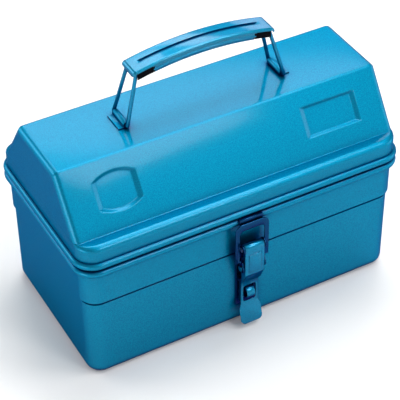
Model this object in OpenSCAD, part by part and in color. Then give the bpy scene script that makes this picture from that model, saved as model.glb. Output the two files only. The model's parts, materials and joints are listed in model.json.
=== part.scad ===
// Portable hip-roof tool box in pressed sheet steel, with a lift-out tray.
// Frame: +X to the right along the box, -Y to the front, +Z up.
// Origin: the middle of the flat bottom that the box stands on.

/* [Tub] */
// Length of the tub below its step
tub_length = 272; // [200:1:420]
// Depth of the tub below its step, front to back
tub_depth = 144.5; // [110:0.5:220]
// Height of the dark step line above the bottom
step_height = 76.8; // [60:0.2:120]
// Height of the top of the tub's rolled rim
rim_height = 111.2; // [100:0.2:170]
// How far the band above the step stands out from the wall
step_out = 1.4; // [1:0.1:3]
// Outside radius of the tub's upright corners
corner_radius = 12.7; // [10:0.2:24]
// Outside radius of the tub's bottom edge
bottom_radius = 7.4; // [4:0.2:9]
// Thickness of the sheet that the tub and the lid are pressed from
sheet = 0.8; // [0.6:0.1:1.2]

/* [Rolled rims] */
// Height of the roll at the edge of the tub and of the lid
rim_roll = 6; // [4:0.2:7]
// How far both rolls stand out from the tub's band
rim_out = 4.1; // [3:0.1:5]
// Gap between the roll of the tub and the roll of the lid
rim_gap = 1.4; // [1.4:0.1:2]

/* [Lid] */
// Height of the closed lid above the tub's rim, up to its flat top
lid_rise = 65.3; // [50:0.5:90]
// How far the lid's side stands out from the tub's band
lid_out = 1.1; // [0.4:0.1:2]
// Height of the upright band of the lid above the tub's rim
lid_band = 20.6; // [17:0.2:26]
// Width of the flat top, front to back
top_width = 64; // [50:1:90]
// Distance between the feet of the two sloped panels
hip_foot_width = 126.8; // [110:0.2:138]
// Radius of the lid's folds and of the edges of its end faces
fold_radius = 5; // [3:0.5:8]
// Depth of the two panels pressed into the front slope
emboss_depth = 1; // [0.5:0.1:1.5]
// Width of the barrel-shaped panel on the left
barrel_width = 36; // [24:1:44]
// Width of the rectangular panel on the right
panel_width = 49; // [30:1:60]
// Height of the rectangular panel, up the slope
panel_height = 25; // [16:1:30]

/* [Handle] */
// Distance between the feet of the two wire loops
foot_span = 135; // [110:1:160]
// Distance between the pivots at the two ends of the grip
grip_span = 113; // [90:1:134]
// Height of the grip's pivots above the feet
loop_height = 40.5; // [32:0.5:55]
// Diameter of the loop's wire
wire_d = 3; // [2.4:0.1:4]
// Width of the grip, front to back
grip_width = 20; // [18:0.5:26]
// Radius of the arch of the grip's top
grip_arch = 255; // [200:5:400]
// Thickness of the grip's sheet
grip_sheet = 1; // [0.8:0.1:1.4]
// Depth of the grip's turned-down sides
grip_skirt = 5.6; // [4.5:0.1:7]
// Length of the open stretch between the channel's end and the grip's pivot
clip_length = 14; // [10:0.5:20]

/* [Latch] */
// Outside width of the bail
bail_width = 29.4; // [28:0.2:36]
// Width of the bail's side bars
bail_bar = 3.9; // [3:0.1:4]
// Height of the lever's pivot above the bottom
lever_pivot_z = 85.5; // [84:0.1:87]
// Distance from the lever's pivot down to the bail's pivot
bail_drop = 19.5; // [17:0.5:22]
// Diameter of the lever's pin
lever_pin_d = 3; // [2.4:0.1:3.4]
// Thickness of the latch's sheet
latch_sheet = 1.2; // [1:0.1:1.4]
// Width of the lever
lever_width = 17; // [15:0.2:17.4]
// Width of the padlock staple
staple_width = 7; // [5:0.2:8]

/* [Hinges] */
// Distance between the middles of the two hinges
hinge_span = 150; // [100:1:200]
// Width of one hinge
hinge_width = 36; // [24:1:44]
// Diameter of a hinge's pin
hinge_pin_d = 2.6; // [2:0.1:3]
// Outside diameter of a hinge's knuckle
knuckle_d = 5.2; // [4.8:0.1:6]

/* [Tray] */
// Depth of the tray
tray_height = 32; // [20:1:50]
// Thickness of the tray's sheet
tray_sheet = 0.8; // [0.6:0.1:1.2]
// Height of the tray's lifting strap above the tray's floor
strap_height = 46; // [35:1:60]
// Width of the tray's lifting strap
strap_width = 16; // [12:1:24]

/* [Hidden] */

$fn = 64;
// A hair's breadth, by which cutting shapes pass a face
hair = 0.01;
// Running fit on radius, gap beside a moving piece, and gap between a piece and its seat
fit = 0.06;
side_gap = 0.3;
seat = 0.3;
// Length of the shapes that cut or keep a whole piece, and of a rivet's hole
through = 20;
rivet_hole_length = 8;

// Tub and lid, half sizes of their outside
tub_x = tub_length / 2;
tub_y = tub_depth / 2;
band_y = tub_y + step_out;
lid_x = tub_x + step_out + lid_out;
lid_y = band_y + lid_out;
lid_corner = corner_radius + step_out + lid_out;
roll_y = band_y + rim_out;
roll_radius = rim_roll / 2;
tub_roll_z = rim_height - roll_radius;
lid_low_z = rim_height + rim_gap;
lid_roll_z = lid_low_z + roll_radius;
lid_top_z = rim_height + lid_rise;
shoulder_z = rim_height + lid_band;
shoulder_round = 2.5;
hip_slope = (hip_foot_width - top_width) / 2 / (lid_top_z - shoulder_z);
hip_tilt = atan(hip_slope);
hip_length = (lid_top_z - shoulder_z) / cos(hip_tilt);
roof_below_shoulder = 3.2;

// Panels pressed into the front slope: their middles, and the barrel's arcs
barrel_x = -95;
panel_x = 89;
panel_up = hip_length * 0.52;
barrel_arc = 33.4;
barrel_height = 31;

// Rivets
rivet_d = 3;
rivet_head_d = 5.6;
rivet_head = 1.1;
rivet_tail_d = 4.8;
rivet_tail = 0.5;

// Hinges, with their leaves bent round the rolls
knuckle_r = knuckle_d / 2;
hinge_pin_r = hinge_pin_d / 2;
hinge_y = roll_y + seat + knuckle_r;
hinge_z = rim_height + rim_gap / 2;
leaf = 1.2;
leaf_out_y = hinge_y - knuckle_r + leaf / 2;
leaf_hole_in = 6;
leaf_hole_x = hinge_width / 2 - leaf_hole_in;
knuckle_half = hinge_width / 4;
tub_hole_below_roll = 8;
lid_hole_above_roll = 6;
tub_leaf_hole_z = tub_roll_z - roll_radius - tub_hole_below_roll;
lid_leaf_hole_z = lid_roll_z + roll_radius + lid_hole_above_roll;
tub_leaf_end = 7;
lid_leaf_end = 5;
leaf_bend = 5;
leaf_turn = 2.4;
pin_head = 0.8;
pin_play = 0.2;

// Latch, with distances in front of the box's middle
keeper_sheet = 1;
keeper_in = roll_y + 0.5;
keeper_clear = 0.7;
keeper_width = 20;
keeper_low_z = tub_roll_z - 4.6;
keeper_top_z = lid_roll_z + 9;
bail_y = keeper_in + keeper_sheet + keeper_clear + latch_sheet / 2;
bail_top_z = rim_height - 2.4;
bail_top_bar = 6.3;
bail_corner = 6;
bail_low_z = lever_pivot_z - 14.5;
barrel_r = 3.5;
lever_pivot_y = bail_y + latch_sheet / 2 + 1;
lever_pin_r = lever_pin_d / 2;
bail_pivot_y = bail_y + latch_sheet / 2 + 0.5;
bail_pivot_z = lever_pivot_z - bail_drop;
bail_pin_r = 1.2;
panel_y = lever_pivot_y + barrel_r;
lever_half = lever_width / 2;
ear_x = lever_half + side_gap;
lug_x = lever_half + 0.5;
lug_r = 4;
bracket_half = ear_x + latch_sheet;
bracket_y = tub_y + latch_sheet;
bracket_low_z = 20;
bracket_top_z = step_height - 1;
neck_half = lever_half - 0.8;
neck_y = bracket_y + 4;
neck_top_z = 45;
neck_low_z = 23;
neck_shoulder_z = neck_top_z + 4;
panel_low_z = 60;
taper_top_z = panel_low_z - 2;
field_margin = 3;
field_out = 0.6;
field_low_z = panel_low_z + 2;
field_top_z = lever_pivot_z - 5;
tongue_low_z = 5;
tongue_top_z = neck_low_z - 5;
tongue_y = neck_y + 5.4;
tongue_half = lever_half + 1.1;
tongue_corner = 4;
slot_half = staple_width / 2 + 2;
slot_low_z = 25;
slot_top_z = 41.5;
staple_z = 33.2;
staple_r = 5.5;
staple_reach = 2.2;
staple_sheet = 1.2;
bracket_holes = [staple_z + 13, bracket_top_z - 5];

// Handle
wire_r = wire_d / 2;
curl = 1.1;
foot_r = wire_r + fit + curl;
foot_x = foot_span / 2;
foot_z = lid_top_z + foot_r;
foot_half = 11.3;
bracket_length = 19;
bracket_flange = 6.5;
pivot_x = grip_span / 2;
pivot_z = foot_z + loop_height;
head_r = wire_r + fit + curl + grip_sheet;
loose_fit = 1.1;
grip_rise = grip_arch - sqrt(grip_arch * grip_arch - pivot_x * pivot_x);
grip_top_z = pivot_z + head_r + grip_rise;
arch_z = grip_top_z - grip_arch;
grip_half = grip_width / 2;
skirt_half_length = pivot_x - clip_length;
channel_drop = 8.5;
head_half = grip_half - grip_sheet - wire_r - 0.5;
curl_half = head_half - wire_r - side_gap;
groove_width = 3.6;
groove_depth = 1.1;
groove_end = 5.5;
groove_half_length = pivot_x - groove_end;
groove_r = grip_arch - groove_depth + 0.5;
clip_sheet = 0.6;
clip_half = grip_half - 0.25;
clip_drop = 7.5;
clip_bridge = 5;
bridge_r = grip_arch - grip_sheet - groove_depth + 0.45;
clip_cut = 40;

// Tray, which hangs by its edge on the ledge inside the step
tray_gap = 1.2;
tray_x = tub_x - sheet - tray_gap;
tray_y = tub_y - sheet - tray_gap;
tray_corner = corner_radius - sheet - tray_gap;
tray_edge = tray_gap + step_out - sheet - 0.05;
ledge_z = step_height + sheet;
tray_rim_z = ledge_z + 0.1 + tray_sheet;
tray_floor_z = tray_rim_z - tray_height;
tray_round = 4;
strap_bend = 18;
strap_sheet = 1.5;
strap_hole_below_rim = 9;
strap_hole_z = tray_rim_z - strap_hole_below_rim;
strap_low_z = strap_hole_z - 6;
strap_bend_z = tray_rim_z + 2;

paint = [0.07, 0.50, 0.72];
dark = [0.06, 0.06, 0.07];
bright = [0.78, 0.80, 0.82];

// --- Shared shapes ---

// A rectangle with round corners
module round_rect(half_x, half_y, r) {
    square([2 * (half_x - r), 2 * half_y], center = true);
    square([2 * half_x, 2 * (half_y - r)], center = true);
    for (sx = [-1, 1], sy = [-1, 1]) translate([sx * (half_x - r), sy * (half_y - r)]) circle(r);
}

// Sweeps the child, a section with x = distance from the corner's centre, round a rectangle
module frame_sweep(half_x, half_y, r) {
    cx = half_x - r;
    cy = half_y - r;
    for (k = [0 : 3]) {
        sx = (k == 0 || k == 3) ? 1 : -1;
        sy = (k < 2) ? 1 : -1;
        translate([sx * cx, sy * cy, 0]) rotate([0, 0, 90 * k]) rotate_extrude(angle = 90) children();
    }
    for (side = [0, 180]) {
        rotate([0, 0, side]) translate([cx, cy, 0]) rotate([90, 0, 0]) linear_extrude(2 * cy) children();
        rotate([0, 0, side]) translate([-cx, cy, 0]) rotate([90, 0, 90]) linear_extrude(2 * cx) children();
    }
}

// Section of a rolled edge that stands out from a wall whose outside is at x = wall
module roll_section(wall, out, z) {
    intersection() {
        translate([wall + out - roll_radius, z]) circle(roll_radius);
        translate([wall - sheet, z - roll_radius]) square([out + sheet, rim_roll]);
    }
}

// A sheet strip bent along a list of points, as a section
module strip_section(points, t) {
    for (i = [0 : len(points) - 2]) {
        a = points[i];
        b = points[i + 1];
        translate(a) rotate(atan2(b.y - a.y, b.x - a.x)) translate([0, -t / 2]) square([norm(b - a), t]);
    }
    if (len(points) > 2) for (i = [1 : len(points) - 2]) translate(points[i]) circle(t / 2);
}

// Extrudes a section, drawn as (y, height), along X from x = low to x = high
module along_x(low, high) {
    translate([low, 0, 0]) rotate([90, 0, 90]) linear_extrude(high - low) children();
}

// The same for a section drawn as (distance in front of the middle, height)
module along_x_front(low, high) {
    mirror([0, 1, 0]) along_x(low, high) children();
}

// Extrudes a section, drawn as (x, height), along Y from y = low to y = high
module along_y(low, high) {
    translate([0, high, 0]) rotate([90, 0, 0]) linear_extrude(high - low) children();
}

// A rivet: a domed head above z = 0, its shank below, and a flat tail under what it holds
module rivet(held) {
    dome = (rivet_head_d * rivet_head_d / 4 + rivet_head * rivet_head) / (2 * rivet_head);
    intersection() {
        translate([0, 0, rivet_head - dome]) sphere(dome);
        cylinder(d = rivet_head_d, h = rivet_head + 1);
    }
    translate([0, 0, -held - rivet_tail / 2]) cylinder(d = rivet_d, h = held + rivet_tail / 2 + hair);
    translate([0, 0, -held - rivet_tail]) cylinder(d = rivet_tail_d, h = rivet_tail);
}

// A hole along Y for a rivet, centred on a wall
module rivet_hole(x, y, z) {
    translate([x, y, z]) rotate([90, 0, 0])
        cylinder(r = rivet_d / 2 + fit, h = rivet_hole_length, center = true);
}

// --- Tub ---

module tub_section() {
    r = corner_radius;
    square([r - bottom_radius, sheet]);
    translate([r - bottom_radius, bottom_radius]) intersection() {
        difference() {
            circle(bottom_radius);
            circle(bottom_radius - sheet);
        }
        translate([0, -bottom_radius]) square(bottom_radius);
    }
    translate([r - sheet, bottom_radius]) square([sheet, step_height - bottom_radius + sheet]);
    translate([r - sheet, step_height]) square([sheet + step_out, sheet]);
    translate([r + step_out - sheet, step_height]) square([sheet, tub_roll_z - step_height]);
    roll_section(r + step_out, rim_out, tub_roll_z);
}

module base_tub() {
    color(paint) difference() {
        union() {
            frame_sweep(tub_x, tub_y, corner_radius) tub_section();
            translate([corner_radius - tub_x, corner_radius - tub_y, 0])
                cube([2 * (tub_x - corner_radius), 2 * (tub_y - corner_radius), sheet]);
        }
        for (s = [-1, 1], k = [-1, 1])
            rivet_hole(s * hinge_span / 2 + k * leaf_hole_x, band_y, tub_leaf_hole_z);
        for (z = bracket_holes) rivet_hole(0, -tub_y, z);
    }
}

// --- Lid ---

// Roof of the lid with its edges rounded, and its faces drawn in by inset
module roof(inset) {
    r = fold_radius;
    foot_y = hip_foot_width / 2 + roof_below_shoulder * hip_slope - r / cos(hip_tilt);
    top_y = top_width / 2 - r * (1 - sin(hip_tilt)) / cos(hip_tilt);
    hull() for (sx = [-1, 1], sy = [-1, 1]) {
        translate([sx * (lid_x - r), sy * top_y, lid_top_z - r]) sphere(r - inset, $fn = 32);
        translate([sx * (lid_x - r), sy * foot_y, shoulder_z - roof_below_shoulder])
            sphere(r - inset, $fn = 32);
    }
}

// Upright band of the lid with its top edge rounded, filled in
module band(inset) {
    r = lid_corner - inset;
    x = lid_x - inset;
    y = lid_y - inset;
    low = lid_low_z - (inset > 0 ? 1 : 0);
    top = shoulder_z - inset;
    edge = shoulder_round - inset;
    frame_sweep(x, y, r) {
        translate([0, low]) square([r - edge, top - low]);
        translate([0, low]) square([r, top - edge - low]);
        translate([r - edge, top - edge]) circle(edge);
    }
    translate([r - x, r - y, low]) cube([2 * (x - r), 2 * (y - r), top - low]);
}

// Places a shape on the front slope: x along the box, y up the slope, z out of it
module on_front_slope(x) {
    translate([x, -hip_foot_width / 2, shoulder_z]) rotate([90 - hip_tilt, 0, 0])
        translate([0, panel_up, 0]) children();
}

// The two panels pressed into the front slope, grown by the sheet for the inside
module pressed_panels(grow) {
    depth = emboss_depth + grow;
    on_front_slope(barrel_x) translate([0, 0, -depth]) linear_extrude(depth + 1) intersection() {
        square([barrel_width + 2 * grow, 2 * barrel_height], center = true);
        translate([0, barrel_height / 2 - barrel_arc]) circle(barrel_arc + grow);
        translate([0, barrel_arc - barrel_height / 2]) circle(barrel_arc + grow);
    }
    on_front_slope(panel_x) translate([0, 0, -depth]) linear_extrude(depth + 1)
        square([panel_width + 2 * grow, panel_height + 2 * grow], center = true);
}

module lid_shell() {
    color(paint) difference() {
        union() {
            difference() {
                union() {
                    roof(0);
                    band(0);
                }
                pressed_panels(0);
                difference() {
                    union() {
                        roof(sheet);
                        band(sheet);
                    }
                    pressed_panels(sheet);
                }
            }
            frame_sweep(lid_x, lid_y, lid_corner) roll_section(lid_corner, rim_out - lid_out, lid_roll_z);
        }
        for (s = [-1, 1], k = [-1, 1])
            rivet_hole(s * hinge_span / 2 + k * leaf_hole_x, lid_y, lid_leaf_hole_z);
    }
}

// --- Hinges ---

// Leaf on the tub: up the band, out round the roll and up to the knuckle
module tub_leaf_section() {
    y = band_y + leaf / 2;
    strip_section([[y, tub_leaf_hole_z - tub_leaf_end], [y, tub_roll_z - leaf_bend],
        [leaf_out_y, tub_roll_z - leaf_turn], [leaf_out_y, hinge_z]], leaf);
    translate([hinge_y, hinge_z]) circle(knuckle_r);
}

// Leaf on the lid: down the band, out round the roll and down to the knuckle
module lid_leaf_section() {
    y = lid_y + leaf / 2;
    strip_section([[y, lid_leaf_hole_z + lid_leaf_end], [y, lid_roll_z + leaf_bend],
        [leaf_out_y, lid_roll_z + leaf_turn], [leaf_out_y, hinge_z]], leaf);
    translate([hinge_y, hinge_z]) circle(knuckle_r);
}

module hinge_bore() {
    translate([0, hinge_y, hinge_z]) rotate([0, 90, 0])
        cylinder(r = hinge_pin_r + fit, h = hinge_width + 2, center = true);
}

module tub_leaf(x) {
    color(paint) translate([x, 0, 0]) difference() {
        along_x(-hinge_width / 2, hinge_width / 2) tub_leaf_section();
        hinge_bore();
        translate([-knuckle_half, band_y, hinge_z - knuckle_r - side_gap])
            cube([2 * knuckle_half, through, through]);
        for (k = [-1, 1]) rivet_hole(k * leaf_hole_x, band_y, tub_leaf_hole_z);
    }
}

module lid_leaf(x) {
    end = hinge_width / 2 - knuckle_half + side_gap;
    color(paint) translate([x, 0, 0]) difference() {
        along_x(-hinge_width / 2, hinge_width / 2) lid_leaf_section();
        hinge_bore();
        for (s = [-1, 1]) translate([s * (hinge_width / 2 - end / 2 + 1), hinge_y, hinge_z])
            cube([end + 2, through, 2 * (knuckle_r + side_gap)], center = true);
        for (k = [-1, 1]) rivet_hole(k * leaf_hole_x, lid_y, lid_leaf_hole_z);
    }
}

module hinge_pin(x) {
    length = hinge_width + pin_play + pin_head;
    color(bright) translate([x, hinge_y, hinge_z]) rotate([0, 90, 0]) {
        cylinder(r = hinge_pin_r, h = length, center = true);
        for (s = [-1, 1]) translate([0, 0, s * length / 2])
            cylinder(r = knuckle_r - 0.4, h = pin_head, center = true);
    }
}

module back_rivets(y, z, held) {
    color(paint) for (s = [-1, 1], k = [-1, 1])
        translate([s * hinge_span / 2 + k * leaf_hole_x, y, z]) rotate([-90, 0, 0]) rivet(held);
}

// --- Latch ---

module latch_bracket() {
    color(paint) difference() {
        union() {
            along_x_front(-bracket_half, bracket_half)
                translate([tub_y, bracket_low_z]) square([latch_sheet, bracket_top_z - bracket_low_z]);
            for (s = [-1, 1]) translate([s * (ear_x + latch_sheet / 2), 0, 0])
                along_x_front(-latch_sheet / 2, latch_sheet / 2) {
                    translate([lever_pivot_y, lever_pivot_z]) circle(barrel_r + 0.6);
                    polygon([[tub_y + 0.5, bracket_top_z - 10], [tub_y + 0.5, bracket_top_z],
                        [band_y + 0.7, step_height + 0.8],
                        [lever_pivot_y - 1, lever_pivot_z + barrel_r + 0.5],
                        [lever_pivot_y + barrel_r - 0.3, lever_pivot_z - 2.6]]);
                }
        }
        translate([0, -lever_pivot_y, lever_pivot_z]) rotate([0, 90, 0])
            cylinder(r = lever_pin_r + fit / 2, h = 4 * ear_x, center = true);
        for (z = bracket_holes) rivet_hole(0, -tub_y, z);
    }
}

module bracket_rivets() {
    color(paint) for (z = bracket_holes) translate([0, -bracket_y, z]) rotate([90, 0, 0])
        rivet(latch_sheet + sheet);
}

// Outline of the lever from the front: panel, tapered neck and tongue
module lever_outline() {
    translate([-lever_half, taper_top_z]) square([lever_width, lever_pivot_z + 6 - taper_top_z]);
    polygon([[-lever_half, taper_top_z], [lever_half, taper_top_z],
        [neck_half, neck_shoulder_z], [neck_half, neck_low_z], [tongue_half, tongue_top_z],
        [-tongue_half, tongue_top_z], [-neck_half, neck_low_z], [-neck_half, neck_shoulder_z]]);
    translate([-tongue_half, tongue_low_z + tongue_corner])
        square([2 * tongue_half, tongue_top_z - tongue_low_z - tongue_corner]);
    translate([tongue_corner - tongue_half, 0]) square([2 * (tongue_half - tongue_corner), neck_low_z]);
    for (s = [-1, 1]) translate([s * (tongue_half - tongue_corner), tongue_low_z + tongue_corner])
        circle(tongue_corner);
}

module lever_slot() {
    r = 2;
    translate([0, (slot_low_z + slot_top_z) / 2]) round_rect(slot_half, (slot_top_z - slot_low_z) / 2, r);
}

module latch_lever() {
    face = panel_y - latch_sheet / 2;
    color(paint) difference() {
        union() {
            difference() {
                intersection() {
                    along_x_front(-tongue_half, tongue_half) strip_section([[face, lever_pivot_z],
                        [face, panel_low_z], [neck_y, neck_top_z], [neck_y, neck_low_z],
                        [tongue_y, tongue_low_z]], latch_sheet);
                    along_y(-panel_y - through, -tub_y) lever_outline();
                }
                along_y(-panel_y - through, -tub_y) lever_slot();
            }
            along_x_front(-lever_half, lever_half) translate([lever_pivot_y, lever_pivot_z]) circle(barrel_r);
            for (s = [-1, 1]) {
                translate([s * (lever_half - latch_sheet / 2), 0, 0])
                    along_x_front(-latch_sheet / 2, latch_sheet / 2) polygon([[face, lever_pivot_z - 2],
                        [bail_pivot_y - 3, lever_pivot_z - 4], [bail_pivot_y - 3, panel_low_z],
                        [neck_y + 2, neck_shoulder_z], [neck_y + 3.4, neck_shoulder_z], [face, panel_low_z]]);
                translate([s * (neck_half - latch_sheet / 2), 0, 0])
                    along_x_front(-latch_sheet / 2, latch_sheet / 2) polygon([[neck_y, neck_low_z + 1],
                        [bracket_y + 0.8, neck_low_z + 3], [bracket_y + 0.8, neck_top_z - 1],
                        [neck_y + 1, neck_top_z + 9], [neck_y + 4.2, neck_top_z + 7], [neck_y, neck_top_z]]);
            }
            along_x_front(field_margin - lever_half, lever_half - field_margin)
                translate([panel_y - hair, field_low_z])
                    square([field_out + hair, field_top_z - field_low_z]);
        }
        translate([0, -lever_pivot_y, lever_pivot_z]) rotate([0, 90, 0])
            cylinder(r = lever_pin_r + fit, h = 2 * lever_width, center = true);
        translate([0, -bail_pivot_y, bail_pivot_z]) rotate([0, 90, 0])
            cylinder(r = bail_pin_r + fit / 2, h = 2 * lever_width, center = true);
    }
}

module lever_pin() {
    half = ear_x + latch_sheet;
    color(bright) translate([0, -lever_pivot_y, lever_pivot_z]) rotate([0, 90, 0]) {
        cylinder(r = lever_pin_r, h = 2 * half + 0.4, center = true);
        for (s = [-1, 1]) translate([0, 0, s * (half + 0.35)])
            cylinder(r = lever_pin_r + 0.5, h = 0.4, center = true);
    }
}

module latch_bail() {
    half = bail_width / 2;
    low = latch_sheet / 2;
    color(paint) difference() {
        union() {
            along_y(-bail_y - low, -bail_y + low) difference() {
                union() {
                    translate([-half, bail_low_z])
                        square([bail_width, bail_top_z - bail_low_z - bail_corner]);
                    translate([bail_corner - half, bail_low_z])
                        square([bail_width - 2 * bail_corner, bail_top_z - bail_low_z]);
                    for (s = [-1, 1]) translate([s * (half - bail_corner), bail_top_z - bail_corner])
                        circle(bail_corner);
                }
                translate([0, (bail_low_z + bail_top_z - bail_top_bar) / 2 - 5])
                    round_rect(half - bail_bar, (bail_top_z - bail_top_bar - bail_low_z) / 2 + 5, 3.5);
            }
            for (s = [-1, 1]) {
                along_y(-bail_y - low, -bail_y + low) translate([s * (lug_x + half) / 2, bail_low_z + 1])
                    square([half - lug_x, 2], center = true);
                translate([s * (lug_x + latch_sheet / 2), 0, 0])
                    along_x_front(-latch_sheet / 2, latch_sheet / 2) {
                        translate([bail_pivot_y, bail_pivot_z]) circle(lug_r);
                        translate([bail_y - low, bail_pivot_z])
                            square([lug_r, bail_low_z + 2 - bail_pivot_z]);
                    }
            }
        }
        translate([0, -bail_pivot_y, bail_pivot_z]) rotate([0, 90, 0])
            cylinder(r = bail_pin_r + fit, h = 2 * bail_width, center = true);
    }
}

module bail_rivets() {
    inner = lever_half - latch_sheet;
    outer = lug_x + latch_sheet + 0.15;
    color(bright) for (s = [-1, 1]) translate([0, -bail_pivot_y, bail_pivot_z]) rotate([0, s * 90, 0]) {
        translate([0, 0, inner - 0.6]) cylinder(r = bail_pin_r, h = outer - inner + 1);
        translate([0, 0, inner - 0.7]) cylinder(r = bail_pin_r + 0.6, h = 0.7);
        translate([0, 0, outer]) cylinder(r = bail_pin_r + 1, h = 0.9);
    }
}

module padlock_staple() {
    w = staple_width / 2;
    color(paint) along_x_front(-w, w) {
        translate([bracket_y + staple_reach, staple_z]) intersection() {
            difference() {
                circle(staple_r);
                circle(staple_r - staple_sheet);
            }
            translate([0, -staple_r]) square([staple_r, 2 * staple_r]);
        }
        for (s = [-1, 1]) {
            translate([bracket_y, staple_z + s * (staple_r - staple_sheet / 2) - staple_sheet / 2])
                square([staple_reach + hair, staple_sheet]);
            translate([bracket_y, staple_z + s * (staple_r + 0.3) - 1.3]) square([1, 2.6]);
        }
    }
}

module lid_keeper() {
    w = keeper_width / 2;
    inside = lid_y - sheet - keeper_sheet / 2;
    front = keeper_in + keeper_sheet / 2;
    color(paint) along_x_front(-w, w) strip_section([[inside, keeper_top_z], [inside, hinge_z],
        [front, hinge_z], [front, keeper_low_z]], keeper_sheet);
}

// --- Handle ---

// A wedge of the arch, seen from the front, between two radii
module arch_section(outer, inner, half_length) {
    intersection() {
        translate([0, arch_z]) difference() {
            circle(outer, $fn = 360);
            circle(inner, $fn = 360);
        }
        translate([-half_length, arch_z]) square([2 * half_length, grip_arch + 5]);
    }
}

// Curled end of the cover round the head of the right loop, with the bore's radius
module grip_end_section(bore) {
    difference() {
        union() {
            translate([pivot_x, pivot_z]) circle(head_r);
            translate([pivot_x - 6, pivot_z]) square([6, head_r - 0.1]);
        }
        translate([pivot_x, pivot_z]) circle(bore);
        translate([pivot_x - 9, pivot_z - 5]) square([8, 5]);
    }
}

module grip_cover() {
    end = pivot_x + head_r;
    color(paint) {
        difference() {
            along_y(-grip_half, grip_half) {
                arch_section(grip_arch, grip_arch - grip_sheet, pivot_x);
                for (s = [-1, 1]) intersection() {
                    translate([s * pivot_x, pivot_z]) difference() {
                        circle(head_r);
                        circle(head_r - grip_sheet);
                    }
                    translate([s * (pivot_x + head_r / 2), pivot_z + head_r / 2 + 0.5])
                        square(head_r, center = true);
                }
            }
            along_y(-groove_width / 2, groove_width / 2)
                arch_section(grip_arch + 1, groove_r, groove_half_length);
        }
        for (s = [-1, 1]) along_y(s * (grip_half - grip_sheet / 2) - grip_sheet / 2,
            s * (grip_half - grip_sheet / 2) + grip_sheet / 2)
            arch_section(grip_arch - grip_sheet / 2, grip_arch - grip_skirt, skirt_half_length);
        along_y(-groove_width / 2 - grip_sheet, groove_width / 2 + grip_sheet)
            arch_section(groove_r, groove_r - grip_sheet, groove_half_length);
        mirror([1, 0, 0]) along_y(-curl_half, curl_half) grip_end_section(wire_r + fit);
        along_y(-curl_half, curl_half) grip_end_section(wire_r + loose_fit);
    }
}

module grip_channel() {
    half = grip_half - grip_sheet - 0.1;
    top = grip_arch - grip_sheet - groove_depth - 0.4;
    low = grip_arch - channel_drop;
    color(paint) {
        for (s = [-1, 1]) along_y(s * (half - grip_sheet / 2) - grip_sheet / 2,
            s * (half - grip_sheet / 2) + grip_sheet / 2) arch_section(top + 0.9, low, skirt_half_length);
        along_y(-half, half) arch_section(low + grip_sheet, low, skirt_half_length);
    }
}

// Dark clip that closes the end of the grip round the head of a loop
module grip_clip(side) {
    near = skirt_half_length + 0.3;
    far = pivot_x;
    middle = side * (near + far) / 2;
    color(dark) intersection() {
        union() {
            for (s = [-1, 1]) along_y(s * (clip_half - clip_sheet / 2) - clip_sheet / 2,
                s * (clip_half - clip_sheet / 2) + clip_sheet / 2)
                arch_section(grip_arch - grip_sheet, grip_arch - clip_drop, far);
            along_y(-clip_half, clip_half) intersection() {
                arch_section(bridge_r, bridge_r - clip_sheet, far);
                translate([side * (near + clip_bridge / 2), pivot_z])
                    square([clip_bridge, clip_cut], center = true);
            }
        }
        translate([middle, 0, pivot_z]) cube([far - near, grip_width, clip_cut], center = true);
    }
}

// Closed wire loop: a foot bar in its bracket, two legs and a head bar in the grip
module wire_loop(side) {
    lean = side * (pivot_x - foot_x);
    color(paint) {
        translate([side * foot_x, 0, foot_z]) rotate([90, 0, 0])
            cylinder(r = wire_r, h = 2 * foot_half, center = true);
        translate([side * pivot_x, 0, pivot_z]) rotate([90, 0, 0])
            cylinder(r = wire_r, h = 2 * head_half, center = true);
        for (s = [-1, 1]) {
            step = [lean, s * (head_half - foot_half), pivot_z - foot_z];
            translate([side * foot_x, s * foot_half, foot_z]) sphere(wire_r + 0.03);
            translate([side * pivot_x, s * head_half, pivot_z]) sphere(wire_r + 0.03);
            translate([side * foot_x, s * foot_half, foot_z])
                rotate([0, acos(step.z / norm(step)), atan2(step.y, step.x)])
                cylinder(r = wire_r, h = norm(step));
        }
    }
}

module loop_bracket(side) {
    color(paint) along_y(-bracket_length / 2, bracket_length / 2) difference() {
        union() {
            translate([side * foot_x, foot_z]) circle(foot_r);
            translate([side * (foot_x + bracket_flange / 2) - bracket_flange / 2, lid_top_z])
                square([bracket_flange, curl]);
        }
        translate([side * foot_x, foot_z]) circle(wire_r + fit);
    }
}

// --- Tray ---

module tray_section() {
    r = tray_corner;
    translate([0, tray_floor_z]) square([r - tray_round, tray_sheet]);
    translate([r - tray_round, tray_floor_z + tray_round]) intersection() {
        difference() {
            circle(tray_round);
            circle(tray_round - tray_sheet);
        }
        translate([0, -tray_round]) square(tray_round);
    }
    translate([r - tray_sheet, tray_floor_z + tray_round])
        square([tray_sheet, tray_height - tray_round]);
    translate([r - tray_sheet, tray_rim_z - tray_sheet]) square([tray_sheet + tray_edge, tray_sheet]);
}

module inner_tray() {
    r = tray_corner;
    color(paint) difference() {
        union() {
            frame_sweep(tray_x, tray_y, r) tray_section();
            translate([r - tray_x, r - tray_y, tray_floor_z])
                cube([2 * (tray_x - r), 2 * (tray_y - r), tray_sheet]);
        }
        for (s = [-1, 1]) rivet_hole(0, s * tray_y, strap_hole_z);
    }
}

// Strap that arches over the tray from front to back, to lift it by
module tray_strap() {
    w = strap_width / 2;
    y = tray_y - tray_sheet - strap_sheet / 2;
    top = tray_floor_z + strap_height;
    color(paint) difference() {
        along_x(-w, w) strip_section([[-y, strap_low_z], [-y, strap_bend_z], [-y + strap_bend, top],
            [y - strap_bend, top], [y, strap_bend_z], [y, strap_low_z]], strap_sheet);
        for (s = [-1, 1]) rivet_hole(0, s * y, strap_hole_z);
    }
}

module strap_rivets() {
    held = strap_sheet + tray_sheet;
    color(bright) for (s = [-1, 1]) translate([0, s * (tray_y - held), strap_hole_z])
        rotate([s * 90, 0, 0]) rivet(held);
}

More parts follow.
